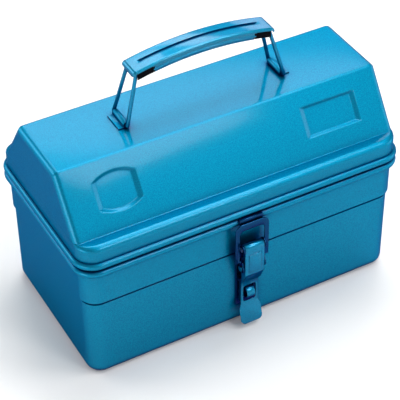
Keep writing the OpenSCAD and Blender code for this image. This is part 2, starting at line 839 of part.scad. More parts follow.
// --- Parts drawn when asked for ---

base_tub();
lid_shell();
tub_leaf(-hinge_span / 2);  // left_hinge_tub_leaf
tub_leaf(hinge_span / 2);  // right_hinge_tub_leaf
lid_leaf(-hinge_span / 2);  // left_hinge_lid_leaf
lid_leaf(hinge_span / 2);  // right_hinge_lid_leaf
hinge_pin(-hinge_span / 2);  // left_hinge_pin
hinge_pin(hinge_span / 2);  // right_hinge_pin
back_rivets(band_y + leaf, tub_leaf_hole_z, leaf + sheet);  // tub_leaf_rivets
back_rivets(lid_y + leaf, lid_leaf_hole_z, leaf + sheet);  // lid_leaf_rivets
latch_bracket();
bracket_rivets();
latch_lever();
lever_pin();
latch_bail();
bail_rivets();
padlock_staple();
lid_keeper();
grip_cover();
grip_channel();
grip_clip(-1);  // left_grip_clip
grip_clip(1);  // right_grip_clip
wire_loop(-1);  // left_wire_loop
wire_loop(1);  // right_wire_loop
loop_bracket(-1);  // left_loop_bracket
loop_bracket(1);  // right_loop_bracket
inner_tray();
tray_strap();
strap_rivets();
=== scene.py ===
"""Looks of the portable tool box: studio, camera, metallic blue paint and the pressed-steel pieces."""

import json
import math

import bmesh
import bpy
from mathutils import Euler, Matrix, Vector


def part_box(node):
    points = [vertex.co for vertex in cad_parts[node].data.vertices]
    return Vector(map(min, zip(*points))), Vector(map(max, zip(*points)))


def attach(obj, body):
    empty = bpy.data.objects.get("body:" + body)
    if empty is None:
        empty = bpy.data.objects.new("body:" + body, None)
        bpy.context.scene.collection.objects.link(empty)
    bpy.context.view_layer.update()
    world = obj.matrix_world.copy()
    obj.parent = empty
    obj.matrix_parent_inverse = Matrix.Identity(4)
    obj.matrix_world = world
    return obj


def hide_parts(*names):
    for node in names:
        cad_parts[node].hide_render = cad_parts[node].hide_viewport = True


MM = 0.001

# The camera, as fitted to the photograph's edges
CAMERA_PLACE = Vector((-0.4421, -0.8124, 0.8546))
CAMERA_TURN = (math.radians(49.72), math.radians(0.56), math.radians(-28.97))
CAMERA_LENS = 135.0
SENSOR_WIDTH = 36.0

# Studio: a white floor, and a sky that is light up to HORIZON_LOW and dims up to HORIZON_HIGH
FLOOR_SIZE = 12.0
FLOOR_COLOR = (0.9, 0.9, 0.9, 1)
WHITE = (1.0, 1.0, 1.0, 1.0)
HORIZON_LIGHT = 0.95
CEILING_LIGHT = 0.36
HORIZON_LOW = 0.12
HORIZON_HIGH = 0.40

# Lamps, which all point at one place: name, place, width and height in metres, and watts
LAMP_TARGET = (0, 0, 0.1)
LAMPS = [
    ("key", (0.38, 0.35, 1.6), 1.0, 0.45, 12),
    ("upper_panel", (0.60, -0.50, 1.50), 0.5, 0.7, 7),
    ("front_panel", (0.52, -1.4, 1.30), 0.45, 0.6, 8),
    ("left_panel", (-1.1, 1.2, 0.8), 1.0, 0.6, 9),
    ("left_front_panel", (-1.45, -0.6, 0.32), 0.7, 0.45, 5),
    ("right_panel", (1.45, -0.75, 0.40), 0.8, 0.5, 4),
    ("back_panel", (0.80, 1.5, 1.46), 1.3, 0.2, 7),
    ("back_left_panel", (0.07, 1.20, 1.40), 0.5, 0.3, 3),
    ("back_right_panel", (1.35, 1.40, 0.95), 0.5, 0.3, 3.5),
]

# Metallic enamel: its darker and lighter flakes, and its colour at a glancing angle
PAINT_DEEP = (0.0, 0.165, 0.315, 1)
PAINT_LIGHT = (0.0, 0.265, 0.435, 1)
PAINT_EDGE = (0.0, 0.06, 0.26, 1)
METAL_SHARE = 0.95
FLAKE_SCALE = 1500
FLAKE_DETAIL = 1
FLAKE_LOW = 0.3
FLAKE_HIGH = 0.7
WAVE_SCALE = 420
WAVE_STRENGTH = 0.03
WAVE_HEIGHT = 0.0003
FILM_ROUGHNESS = 0.09

# Finishes of the paint: name, share of its green and its blue, roughness and share of the glossy film
BLUE_PAINT = ("blue_paint", (1, 1), 0.48, 0.012)
GRIP_PAINT = ("grip_paint", (0.9, 0.9), 0.42, 0.032)
# A darker copy of the blue paint, as painted shade on the latch's bail, bracket and keeper
PAINTED_SHADE_PAINT = ("painted_shade_blue_paint", (0.20, 0.34), 0.25, 0.009)
GLOSSY_PAINT = ("glossy_blue_paint", (0.9, 0.95), 0.34, 0.022)

# Painted shade in creases and recesses, where the paint's colour goes to a dark navy as less of the
# surroundings is open: colour, reach in metres, and the share of open surroundings at which the painted
# shade is darkest and at which the paint has its own colour
PAINTED_CREASE_SHADE_COLOR = (0.0, 0.05, 0.17, 1)
PAINTED_SHADE_REACH = 0.010
PAINTED_SHADE_DARKEST_AT = 0.48
PAINTED_SHADE_NONE_AT = 0.95
PAINTED_SHADE_SAMPLES = 8

# Bare steel, and the near-black clips that paint the shade inside the grip's ends: size of the speckle, its
# two colours, and the gloss
STEEL_SPECKLE = 900
STEEL_COLORS = ((0.5, 0.52, 0.54, 1), (0.72, 0.74, 0.76, 1))
STEEL_ROUGHNESS = 0.28
SHADE_CLIP_SPECKLE = 700
SHADE_CLIP_COLORS = ((0.001, 0.001, 0.002, 1), (0.004, 0.004, 0.005, 1))
SHADE_CLIP_ROUGHNESS = 0.45
SHADE_CLIP_SPECULAR = 0.02

# Meshes: distance in metres under which points are one, steps of the rounds, least angle of a sharp
# edge in degrees, and how much large faces count in the shading
SAME_PLACE = 0.00001
FILLET_STEPS = 6
CORNER_STEPS = 14
ROLL_STEPS = 22
SHARP_ANGLE = 50
FLAT_WEIGHT = 50

# Pressed sheet, in millimetres. HAIR keeps two points of a line apart
SHEET = 0.8
ROLL = 6.0
ROLL_STANDS_OUT = 3.0
SMALL_BEND = 0.3
HAIR = 0.01

# Lid, in millimetres: its shoulder, its slope, its bends and the slight dome of its front slope
SHOULDER_Z = 131.8
HIP_FOOT_Y = 63.4
TOP_HALF_Y = 32.0
LID_CORNER = 15.2
END_ROUND = 5.0
FOLD_ROUND = 2.6
SHOULDER_ROUND = 5.0
HIP_FOOT_ROUND = 0.8
HIP_BULGE = 0.5
BULGE_RUN_OUT = 30.0

# Where the shoulder runs out at the lid's ends: least sizes in millimetres, and shares of the room left
LEAST_ROOM = 0.2
LEAST_SHOULDER_ROUND = 0.3
LEAST_FOLD_ROUND = 0.02
SHOULDER_SHARE = 0.45
FOOT_SHARE = 0.5

# The lid's lines of points: up the slope, round its ends in degrees, and along it in millimetres
HIP_ROWS = 110
END_TURNS = [math.radians(angle) for angle in range(0, 91, 10)]
COLUMN_FINE = 0.6
COLUMN_COARSE = 8.0
COLUMN_MARGIN = 2.0
COLUMN_END_GAP = 1.5

# Panels pressed into the front slope, in millimetres: depth, width of their walls, places and sizes.
# PANEL_UP is the place of their middle as a share of the slope's length
PANEL_DEPTH = 1.7
PANEL_WALL = 2.0
PANEL_SIDE_WALL = 3.8
PANEL_UP = 0.52
BARREL_X = -95.0
BARREL_HALF_WIDTH = 18.0
BARREL_HALF_HEIGHT = 15.5
BARREL_ARC = 33.4
PLATE_X = 89.0
PLATE_HALF_WIDTH = 24.5
PLATE_HALF_HEIGHT = 12.5

# Tub, in millimetres
STEP_Z = 76.8
STEP_OUT = 1.4
STEP_ROUND = 0.45
GROOVE_DEPTH = 1.1
GROOVE_HEIGHT = 2.9
GROOVE_SLANT = 0.3
TUB_CORNER = 14.1
BOTTOM_ROUND = 7.4
WALL_STANDS_IN = 4.1

# Tray, in millimetres
TRAY_EDGE = 1.75
TRAY_CORNER = 10.7
TRAY_ROUND = 4.0
TRAY_RIM_BEND = 0.5

# Grip cover, in millimetres: its arch, its curled ends and its sides
GRIP_ARCH = 255.0
GRIP_SHEET = 1.0
GRIP_CURL = 3.66
GRIP_BORE = 1.7
GRIP_LOOSE_BORE = 2.65
GRIP_SKIRT = 5.6
GRIP_SKIRT_HALF = 44.2
GRIP_LIP = 2.0
GRIP_ROUND = 1.9
GRIP_SHARP_ANGLE = 40
GRIP_ROWS = 60
GRIP_CURL_STEPS = 12
GRIP_FILLET_STEPS = 4
SKIRT_END_GAP = 0.001

# Bead and hollow along the grip's sides, measured down from the top
GRIP_BEAD = 0.45
GRIP_LIP_BEAD = 0.004
HOLLOW_TOP = 2.4
HOLLOW_LOW = 4.5
HOLLOW_TOP_GAP = 0.06
HOLLOW_LOW_GAP = 0.02

# Groove on the grip: half width at the top and at its floor, depth, half length and run-out at its ends
GRIP_GROOVE_WIDTH = 2.0
GRIP_GROOVE_FLOOR = 1.75
GRIP_GROOVE_DEPTH = 1.3
GRIP_GROOVE_HALF = 51.0
GRIP_GROOVE_RUN_OUT = 2.0

# Curl of sheet round the wire: half width, how far it lies inside the end's round, and its turn in degrees
GRIP_COLLAR_HALF = 5.2
COLLAR_INSET = 0.05
COLLAR_STEPS = 24
COLLAR_START = -90
COLLAR_TURN = 225

# Clips, the near-black pieces that paint the shade inside the grip's ends: points nearer to the middle than
# CLIP_INNER_END, in metres, move inwards by CLIP_CLOSES_GAP, in millimetres, so that no slit shows beside
# the cover's side
CLIP_INNER_END = 0.0440
CLIP_CLOSES_GAP = 0.6
CLIP_BEVEL = 0.12

# Broken edges: points that are one, in metres, and angles in degrees that count as flat and as an edge
CAD_SAME_PLACE = 0.000002
FLAT_ANGLE = 1
EDGE_ANGLE = 35
BEVEL_SEGMENTS = 2

# Pieces of the latch that get a darker copy of the paint as painted shade, and pieces that are glossier
PAINTED_SHADE_NODES = ("latch_bail", "latch_bracket", "lid_keeper")
GLOSSY_NODES = ("latch_lever", "padlock_staple", "grip_channel")

# Pieces whose edges are broken: CAD node, body, radius in millimetres
SOFTENED = [
    ("latch_lever", "lever", 0.4),
    ("latch_bail", "bail", 0.5),
    ("latch_bracket", "base", 0.3),
    ("padlock_staple", "base", 0.25),
    ("lid_keeper", "lid", 0.25),
    ("left_hinge_tub_leaf", "base", 0.3),
    ("right_hinge_tub_leaf", "base", 0.3),
    ("left_hinge_lid_leaf", "lid", 0.3),
    ("right_hinge_lid_leaf", "lid", 0.3),
    ("left_loop_bracket", "lid", 0.3),
    ("right_loop_bracket", "lid", 0.3),
    ("grip_channel", "grip", 0.3),
    ("tray_strap", "tray", 0.35),
]


# --- Small helpers ---


def link(obj):
    bpy.context.scene.collection.objects.link(obj)
    return obj


def new_material(name):
    material = bpy.data.materials.new(name)
    material.use_nodes = True
    nodes = material.node_tree.nodes
    nodes.clear()
    return material, nodes, material.node_tree.links


def mesh_piece(name, vertices, faces, body, replaced, material):
    """Makes a smooth piece from points in millimetres, which rides on a body and stands for CAD nodes."""
    mesh = bpy.data.meshes.new(name)
    mesh.from_pydata([Vector(v) * MM for v in vertices], [], faces)
    piece = link(bpy.data.objects.new(name, mesh))
    clean_mesh(mesh)
    mesh.materials.append(material)
    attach(piece, body)
    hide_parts(*replaced)
    return piece


def clean_mesh(mesh):
    work = bmesh.new()
    work.from_mesh(mesh)
    bmesh.ops.remove_doubles(work, verts=work.verts, dist=SAME_PLACE)
    bmesh.ops.dissolve_degenerate(work, edges=work.edges, dist=SAME_PLACE)
    bmesh.ops.recalc_face_normals(work, faces=work.faces)
    for face in work.faces:
        face.smooth = True
    work.to_mesh(mesh)
    work.free()


def weigh_normals(piece, sharp_angle=SHARP_ANGLE):
    """Keeps flat faces flat in the shading, and edges over the angle sharp."""
    mesh = piece.data
    work = bmesh.new()
    work.from_mesh(mesh)
    limit = math.radians(sharp_angle)
    for edge in work.edges:
        edge.smooth = not (edge.is_manifold and edge.calc_face_angle(0) > limit)
    work.to_mesh(mesh)
    work.free()
    modifier = piece.modifiers.new("flat_faces", "WEIGHTED_NORMAL")
    modifier.keep_sharp = True
    modifier.weight = FLAT_WEIGHT


def arc_steps(count):
    return [i / count for i in range(count + 1)]


def filleted(points, radii, steps=FILLET_STEPS):
    """Rounds a line's inner corners. Each corner gives steps + 1 points, so that all such lines match."""
    out = [points[0]]
    for i in range(1, len(points) - 1):
        corner = Vector(points[i])
        if radii[i] == 0:
            out += [tuple(corner)] * (steps + 1)
            continue
        back = (Vector(points[i - 1]) - corner).normalized()
        ahead = (Vector(points[i + 1]) - corner).normalized()
        half = back.angle(ahead) / 2
        reach = radii[i] / math.tan(half)
        middle = corner + (back + ahead).normalized() * radii[i] / math.sin(half)
        start, end = corner + back * reach - middle, corner + ahead * reach - middle
        turn = math.pi - 2 * half
        for t in arc_steps(steps):
            bend = (start * math.sin((1 - t) * turn) + end * math.sin(t * turn)) / math.sin(turn)
            out.append(tuple(middle + bend))
    out.append(points[-1])
    return out


def rounded_ring(half_x, half_y, corner, z):
    """Points of a level rectangle with round corners, anticlockwise from the middle of the right side."""
    ring = []
    for k, (sx, sy) in enumerate(((1, 1), (-1, 1), (-1, -1), (1, -1))):
        for t in arc_steps(CORNER_STEPS):
            angle = math.radians(90 * (k + t))
            x = sx * (half_x - corner) + corner * math.cos(angle)
            y = sy * (half_y - corner) + corner * math.sin(angle)
            ring.append((x, y, z))
    return ring


def bridge(faces, first, second, count, closed=True):
    """Quads between two rows of `count` points that start at the given indices."""
    for i in range(count if closed else count - 1):
        j = (i + 1) % count
        faces.append((first + i, first + j, second + j, second + i))


def bridge_rows(faces, rows, count, closed=True):
    """Quads between all neighbours of `rows` rows of `count` points."""
    for i in range(rows - 1):
        bridge(faces, i * count, (i + 1) * count, count, closed)


def cap_ends(faces, rows, count):
    """One face each over the first and the last row."""
    faces.append(tuple(range(count)))
    last = (rows - 1) * count
    faces.append(tuple(range(last, last + count)))


def swept_rings(section, half_x, half_y, corner):
    """Points of a section of (inset, z) points, swept round a rectangle with round corners."""
    vertices = []
    for inset, z in section:
        vertices += rounded_ring(half_x - inset, half_y - inset, corner - inset, z)
    return vertices, len(vertices) // len(section)


def swept_bowl(section, half_x, half_y, corner):
    """Sweeps a section that starts below the flat bottom and ends on it inside, and closes both floors."""
    vertices, count = swept_rings(section, half_x, half_y, corner)
    faces = []
    bridge_rows(faces, len(section), count)
    cap_ends(faces, len(section), count)
    return vertices, faces


def roll_tube(half_x, half_y, corner, z, radius, wall_inside):
    """The rolled rim, whose outside is at half_x and half_y, and which is flush with the wall inside."""
    section = []
    for i in range(ROLL_STEPS):
        angle = 2 * math.pi * i / ROLL_STEPS
        inset = min(radius - radius * math.cos(angle), wall_inside)
        section.append((inset, z + radius * math.sin(angle)))
    vertices, count = swept_rings(section, half_x, half_y, corner)
    faces = []
    bridge_rows(faces, ROLL_STEPS, count)
    bridge(faces, (ROLL_STEPS - 1) * count, 0, count)
    return vertices, faces


def joined(*parts):
    """Joins lists of (vertices, faces) into one."""
    vertices, faces = [], []
    for part_vertices, part_faces in parts:
        shift = len(vertices)
        vertices += part_vertices
        faces += [tuple(i + shift for i in face) for face in part_faces]
    return vertices, faces


# --- Studio ---


def make_world():
    """A studio that is white round the horizon and dimmer overhead."""
    world = bpy.data.worlds.new("studio")
    bpy.context.scene.world = world
    world.use_nodes = True
    nodes, links = world.node_tree.nodes, world.node_tree.links
    place = nodes.new("ShaderNodeTexCoord")
    height = nodes.new("ShaderNodeSeparateXYZ")
    links.new(place.outputs["Generated"], height.inputs[0])
    level = nodes.new("ShaderNodeMapRange")
    level.interpolation_type = "SMOOTHSTEP"
    level.inputs["From Min"].default_value = HORIZON_LOW
    level.inputs["From Max"].default_value = HORIZON_HIGH
    level.inputs["To Min"].default_value = HORIZON_LIGHT
    level.inputs["To Max"].default_value = CEILING_LIGHT
    links.new(height.outputs["Z"], level.inputs["Value"])
    background = nodes["Background"]
    background.inputs["Color"].default_value = WHITE
    links.new(level.outputs[0], background.inputs["Strength"])


def make_floor():
    mesh = bpy.data.meshes.new("floor")
    half = FLOOR_SIZE / 2
    corners = [(-half, -half, 0), (half, -half, 0), (half, half, 0), (-half, half, 0)]
    mesh.from_pydata(corners, [], [(0, 1, 2, 3)])
    floor = link(bpy.data.objects.new("floor", mesh))
    material, nodes, links = new_material("white_floor")
    diffuse = nodes.new("ShaderNodeBsdfDiffuse")
    diffuse.inputs["Color"].default_value = FLOOR_COLOR
    output = nodes.new("ShaderNodeOutputMaterial")
    links.new(diffuse.outputs[0], output.inputs["Surface"])
    mesh.materials.append(material)


def make_lamps():
    """Area lamps that show in reflections but not to the camera."""
    for name, place, width, height, watts in LAMPS:
        data = bpy.data.lights.new(name, "AREA")
        data.shape = "RECTANGLE"
        data.size = width
        data.size_y = height
        data.energy = watts
        lamp = link(bpy.data.objects.new(name, data))
        lamp.visible_camera = False
        lamp.location = place
        lamp.rotation_mode = "QUATERNION"
        aim = Vector(LAMP_TARGET) - Vector(place)
        lamp.rotation_quaternion = aim.to_track_quat("-Z", "Y")


def make_camera():
    data = bpy.data.cameras.new("camera")
    data.sensor_width = SENSOR_WIDTH
    data.lens = CAMERA_LENS
    camera = link(bpy.data.objects.new("camera", data))
    camera.location = CAMERA_PLACE
    camera.rotation_euler = Euler(CAMERA_TURN, "XYZ")
    bpy.context.scene.camera = camera


# --- Materials ---


def shaded(color, shade):
    """The colour with its green and its blue taken down by two factors."""
    return (color[0], color[1] * shade[0], color[2] * shade[1], 1)


def painted_crease_shade(nodes, links, open_color):
    """Painted shade: the paint's colour, darkened to a navy in creases and recesses, where little of the
    surroundings reaches the surface.
    """
    crease = nodes.new("ShaderNodeAmbientOcclusion")
    crease.samples = PAINTED_SHADE_SAMPLES
    crease.inputs["Distance"].default_value = PAINTED_SHADE_REACH
    open_share = nodes.new("ShaderNodeMapRange")
    open_share.inputs["From Min"].default_value = PAINTED_SHADE_DARKEST_AT
    open_share.inputs["From Max"].default_value = PAINTED_SHADE_NONE_AT
    links.new(crease.outputs["AO"], open_share.inputs["Value"])
    color = nodes.new("ShaderNodeMixRGB")
    color.inputs[1].default_value = PAINTED_CREASE_SHADE_COLOR
    links.new(open_share.outputs[0], color.inputs[0])
    links.new(open_color, color.inputs[2])
    return color.outputs[0]


def paint_material(name, shade, roughness, film_share):
    """Metallic blue enamel: fine flake, painted shade in creases, slow waves in the film, and a thin glossy
    film on top.
    """
    material, nodes, links = new_material(name)
    place = nodes.new("ShaderNodeTexCoord")
    flake = nodes.new("ShaderNodeTexNoise")
    flake.inputs["Scale"].default_value = FLAKE_SCALE
    flake.inputs["Detail"].default_value = FLAKE_DETAIL
    links.new(place.outputs["Object"], flake.inputs["Vector"])
    tint = nodes.new("ShaderNodeValToRGB")
    tint.color_ramp.elements[0].position = FLAKE_LOW
    tint.color_ramp.elements[0].color = shaded(PAINT_DEEP, shade)
    tint.color_ramp.elements[1].position = FLAKE_HIGH
    tint.color_ramp.elements[1].color = shaded(PAINT_LIGHT, shade)
    links.new(flake.outputs[0], tint.inputs[0])
    waves = nodes.new("ShaderNodeTexNoise")
    waves.inputs["Scale"].default_value = WAVE_SCALE
    links.new(place.outputs["Object"], waves.inputs["Vector"])
    bump = nodes.new("ShaderNodeBump")
    bump.inputs["Strength"].default_value = WAVE_STRENGTH
    bump.inputs["Distance"].default_value = WAVE_HEIGHT
    links.new(waves.outputs[0], bump.inputs["Height"])
    body = nodes.new("ShaderNodeBsdfPrincipled")
    body.inputs["Metallic"].default_value = METAL_SHARE
    body.inputs["Roughness"].default_value = roughness
    body.inputs["Specular IOR Level"].default_value = 0.0
    body.inputs["Specular Tint"].default_value = PAINT_EDGE
    # The base colour carries painted shade in creases and recesses
    links.new(painted_crease_shade(nodes, links, tint.outputs[0]), body.inputs["Base Color"])
    links.new(bump.outputs[0], body.inputs["Normal"])
    film = nodes.new("ShaderNodeBsdfGlossy")
    film.inputs["Roughness"].default_value = FILM_ROUGHNESS
    links.new(bump.outputs[0], film.inputs["Normal"])
    both = nodes.new("ShaderNodeMixShader")
    both.inputs[0].default_value = film_share
    links.new(body.outputs[0], both.inputs[1])
    links.new(film.outputs[0], both.inputs[2])
    output = nodes.new("ShaderNodeOutputMaterial")
    links.new(both.outputs[0], output.inputs["Surface"])
    return material


def speckled_material(name, scale, colors, roughness):
    """A material whose colour varies finely between two. Gives its shader too, for what is left to set."""
    material, nodes, links = new_material(name)
    shader = nodes.new("ShaderNodeBsdfPrincipled")
    output = nodes.new("ShaderNodeOutputMaterial")
    links.new(shader.outputs[0], output.inputs["Surface"])
    place = nodes.new("ShaderNodeTexCoord")
    noise = nodes.new("ShaderNodeTexNoise")
    noise.inputs["Scale"].default_value = scale
    links.new(place.outputs["Object"], noise.inputs["Vector"])
    tint = nodes.new("ShaderNodeValToRGB")
    tint.color_ramp.elements[0].color = colors[0]
    tint.color_ramp.elements[1].color = colors[1]
    links.new(noise.outputs[0], tint.inputs[0])
    links.new(tint.outputs[0], shader.inputs["Base Color"])
    shader.inputs["Roughness"].default_value = roughness
    return material, shader


def steel_material():
    material, shader = speckled_material("bright_steel", STEEL_SPECKLE, STEEL_COLORS, STEEL_ROUGHNESS)
    shader.inputs["Metallic"].default_value = 1.0
    return material


# Near-black finish of the clips, painted shade inside the grip's curled ends
def painted_shade_clip_material():
    material, shader = speckled_material("painted_shade_clip", SHADE_CLIP_SPECKLE, SHADE_CLIP_COLORS, SHADE_CLIP_ROUGHNESS)
    shader.inputs["Specular IOR Level"].default_value = SHADE_CLIP_SPECULAR
    return material


def set_materials(frame):
    """Gives every CAD node the finish of its slot."""
    paint, steel, clip = paint_material(*BLUE_PAINT), steel_material(), painted_shade_clip_material()
    by_slot = {"paint": paint, "bright_steel": steel, "dark_grip_clip": clip}
    slots = {s["node"]: s["material_slot"] for s in frame["record"]["subparts"]}
    for name, node in frame["nodes"].items():
        node.data.materials.clear()
        node.data.materials.append(by_slot[slots[name]])
    return by_slot


# --- Lid ---


def hip_tilt(top_z):
    """Angle of the slope to the upright."""
    return math.atan2(HIP_FOOT_Y - TOP_HALF_Y, top_z - SHOULDER_Z)


def lid_lines(half_x, half_y, top_z, low_z, inset, turn):
    """The front half of a line over the lid's right end, as (x, y, z): the points of its band and its roof.

    inset is 0 for the outside and the sheet for the inside. turn runs from 0, where the rounded
    ends start, to 90 degrees, where they meet the flat end face.
    """
    tilt = hip_tilt(top_z)
    roof_round = END_ROUND - inset
    band_round = LID_CORNER - inset
    roof_x = half_x - END_ROUND + roof_round * math.sin(turn)
    shrink = inset + roof_round * (1 - math.cos(turn))
    ledge_z = SHOULDER_Z - inset
    top = top_z - shrink
    push = shrink / math.cos(tilt)
    foot_y = HIP_FOOT_Y - push + (SHOULDER_Z - ledge_z) * math.tan(tilt)
    fold_y = HIP_FOOT_Y - push - (top - SHOULDER_Z) * math.tan(tilt)
    band_y = half_y - LID_CORNER + band_round * math.cos(turn)
    room = max(band_y - foot_y, LEAST_ROOM)
    edge_round = min(max(SHOULDER_ROUND - inset, LEAST_SHOULDER_ROUND), SHOULDER_SHARE * room)
    foot_turn = math.tan(math.pi / 4 - tilt / 2)
    foot_round = min(HIP_FOOT_ROUND * foot_turn, FOOT_SHARE * room) / foot_turn
    fold_round = max((FOLD_ROUND - inset) * math.cos(turn), LEAST_FOLD_ROUND)

    band = filleted([(0, low_z), (0, ledge_z), (edge_round * 2, ledge_z)], [0, edge_round, 0])[:-1]
    line = []
    for across, z in band:
        radius = band_round - across
        x = half_x - LID_CORNER + radius * math.sin(turn)
        line.append((x, -(half_y - LID_CORNER + radius * math.cos(turn)), z))
    roof = filleted(
        [(-band_y, ledge_z), (-foot_y, ledge_z), (-fold_y, top), (0, top)],
        [0, foot_round, fold_round, 0],
    )[1:]
    return line, [(roof_x, y, z) for y, z in roof]


def pressed_depth(x, up, hip_length):
    """How deep the two pressed panels go at a place on the front slope."""
    middle = PANEL_UP * hip_length
    rise = up - middle
    plate_side = (PLATE_HALF_WIDTH - abs(x - PLATE_X)) / PANEL_SIDE_WALL
    plate_end = (PLATE_HALF_HEIGHT - abs(rise)) / PANEL_WALL
    centre = BARREL_ARC - BARREL_HALF_HEIGHT
    barrel_side = (BARREL_HALF_WIDTH - abs(x - BARREL_X)) / PANEL_SIDE_WALL
    above = (BARREL_ARC - math.hypot(x - BARREL_X, rise + centre)) / PANEL_WALL
    below = (BARREL_ARC - math.hypot(x - BARREL_X, rise - centre)) / PANEL_WALL
    inside = max(min(plate_side, plate_end), min(barrel_side, above, below))
    return PANEL_DEPTH * min(1.0, max(0.0, inside))


def lid_columns(reach):
    """Places along the box where the lid has a line of points: close together over the panels."""
    spans = []
    for middle, half in ((BARREL_X, BARREL_HALF_WIDTH), (PLATE_X, PLATE_HALF_WIDTH)):
        spans.append((middle - half - COLUMN_MARGIN, middle + half + COLUMN_MARGIN))
    places, x = [], -reach
    while x < reach:
        places.append(x)
        near = any(low - COLUMN_FINE <= x <= high for low, high in spans)
        next_spans = [low - x for low, _ in spans if low > x]
        x += COLUMN_FINE if near else min([COLUMN_COARSE] + next_spans)
    places.append(reach)
    return places


def whole_line(half_x, half_y, top_z, low_z, inset, turn):
    """A line over the lid from front to back, and how many of its points are in the front half."""
    band, roof = lid_lines(half_x, half_y, top_z, low_z, inset, turn)
    hip_start, hip_end = Vector(roof[FILLET_STEPS]), Vector(roof[FILLET_STEPS + 1])
    hip = [tuple(hip_start.lerp(hip_end, (i + 1) / HIP_ROWS)) for i in range(HIP_ROWS - 1)]
    front = band + roof[: FILLET_STEPS + 1] + hip + roof[FILLET_STEPS + 1 :]
    back = [(x, -y, z) for x, y, z in reversed(band + roof[:-1])]
    return front + back, len(front)


def shape_slope(line, in_front, x, half_x, top_z):
    """Moves a line to a place along the lid, with the front slope's panels and its slight dome."""
    tilt = hip_tilt(top_z)
    foot = Vector((-HIP_FOOT_Y, SHOULDER_Z))
    up_hip = Vector((math.sin(tilt), math.cos(tilt)))
    inward = Vector((math.cos(tilt), -math.sin(tilt)))
    hip_length = (top_z - SHOULDER_Z) / math.cos(tilt)
    ends = min(1, (half_x - abs(x)) / BULGE_RUN_OUT)
    points = []
    for k, (_, y, z) in enumerate(line):
        up = (Vector((y, z)) - foot).dot(up_hip)
        if k < in_front and 0 < up < hip_length:
            swell = 4 * up * (hip_length - up) / hip_length ** 2
            depth = pressed_depth(x, up, hip_length) - HIP_BULGE * swell * ends
            y += inward.x * depth
            z += inward.y * depth
        points.append((x, y, z))
    return points


def lid_surface(half_x, half_y, top_z, low_z, inset):
    """The outside of the lid (inset 0), or the inside one sheet in."""
    ends = [whole_line(half_x, half_y, top_z, low_z, inset, turn)[0] for turn in END_TURNS]
    straight, in_front = whole_line(half_x, half_y, top_z, low_z, inset, 0)
    rows = [[(-x, y, z) for x, y, z in line] for line in reversed(ends)]
    for x in lid_columns(half_x - LID_CORNER - COLUMN_END_GAP):
        rows.append(shape_slope(straight, in_front, x, half_x, top_z))
    rows += ends
    vertices, faces = [], []
    for row in rows:
        vertices += row
    bridge_rows(faces, len(rows), len(straight), closed=False)
    cap_ends(faces, len(rows), len(straight))
    return vertices, faces


def make_lid(paint):
    low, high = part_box("lid_shell")
    low, high = low / MM, high / MM
    half_x, half_y = high.x - ROLL_STANDS_OUT, high.y - ROLL_STANDS_OUT
    roll_z = low.z + ROLL / 2
    outside = lid_surface(half_x, half_y, high.z, roll_z, 0)
    inside = lid_surface(half_x, half_y, high.z, roll_z, SHEET)
    corner = LID_CORNER + ROLL_STANDS_OUT
    roll = roll_tube(high.x, high.y, corner, roll_z, ROLL / 2, ROLL_STANDS_OUT + SHEET)
    vertices, faces = joined(outside, inside, roll)
    piece = mesh_piece("pressed_lid", vertices, faces, "lid", ["lid_shell"], paint)
    weigh_normals(piece)


# --- Tub ---


def tub_line(roll_z, inset):
    """The tub's wall from the bottom to the rim, outside (inset 0) or inside one sheet in."""
    band, wall = WALL_STANDS_IN, WALL_STANDS_IN + STEP_OUT
    groove_z = STEP_Z - GROOVE_HEIGHT
    points = [
        (wall + BOTTOM_ROUND, inset),
        (wall + inset, inset),
        (wall + inset, groove_z),
        (wall + GROOVE_DEPTH + inset, groove_z + GROOVE_SLANT),
        (wall + GROOVE_DEPTH + inset, STEP_Z + inset),
        (band + inset, STEP_Z + inset),
        (band + inset, roll_z),
    ]
    bottom_round = BOTTOM_ROUND - inset - HAIR
    return filleted(points, [0, bottom_round, SMALL_BEND, SMALL_BEND, SMALL_BEND, STEP_ROUND, 0])


def make_tub(paint):
    low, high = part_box("base_tub")
    low, high = low / MM, high / MM
    roll_z = high.z - ROLL / 2
    corner = TUB_CORNER + WALL_STANDS_IN
    section = tub_line(roll_z, 0) + tub_line(roll_z, SHEET)[::-1]
    bowl = swept_bowl(section, high.x, high.y, corner)
    roll = roll_tube(high.x, high.y, corner, roll_z, ROLL / 2, WALL_STANDS_IN + SHEET)
    vertices, faces = joined(bowl, roll)
    piece = mesh_piece("pressed_tub", vertices, faces, "base", ["base_tub"], paint)
    weigh_normals(piece)


# --- Tray ---


def tray_line(low_z, rim_z, inset, rim_bend):
    """The tray's wall from the bottom to its flanged edge, outside (inset 0) or inside one sheet in."""
    wall = TRAY_EDGE + inset
    points = [(TRAY_EDGE + TRAY_ROUND, low_z + inset), (wall, low_z + inset), (wall, rim_z), (0, rim_z)]
    return filleted(points, [0, TRAY_ROUND - inset - HAIR, rim_bend, 0])


def make_tray(paint):
    low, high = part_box("inner_tray")
    low, high = low / MM, high / MM
    outer = tray_line(low.z, high.z - SHEET, 0, SMALL_BEND)
    inner = tray_line(low.z, high.z, SHEET, TRAY_RIM_BEND)
    vertices, faces = swept_bowl(outer + inner[::-1], high.x, high.y, TRAY_CORNER + TRAY_EDGE)
    piece = mesh_piece("pressed_tray", vertices, faces, "tray", ["inner_tray"], paint)
    weigh_normals(piece)


# --- Grip ---


def grip_pivot(end_x, top_z):
    """Place of the right wire's head in the grip's end, as (x, z)."""
    pivot_x = end_x - GRIP_CURL
    return pivot_x, top_z - GRIP_CURL - (GRIP_ARCH - math.sqrt(GRIP_ARCH ** 2 - pivot_x ** 2))


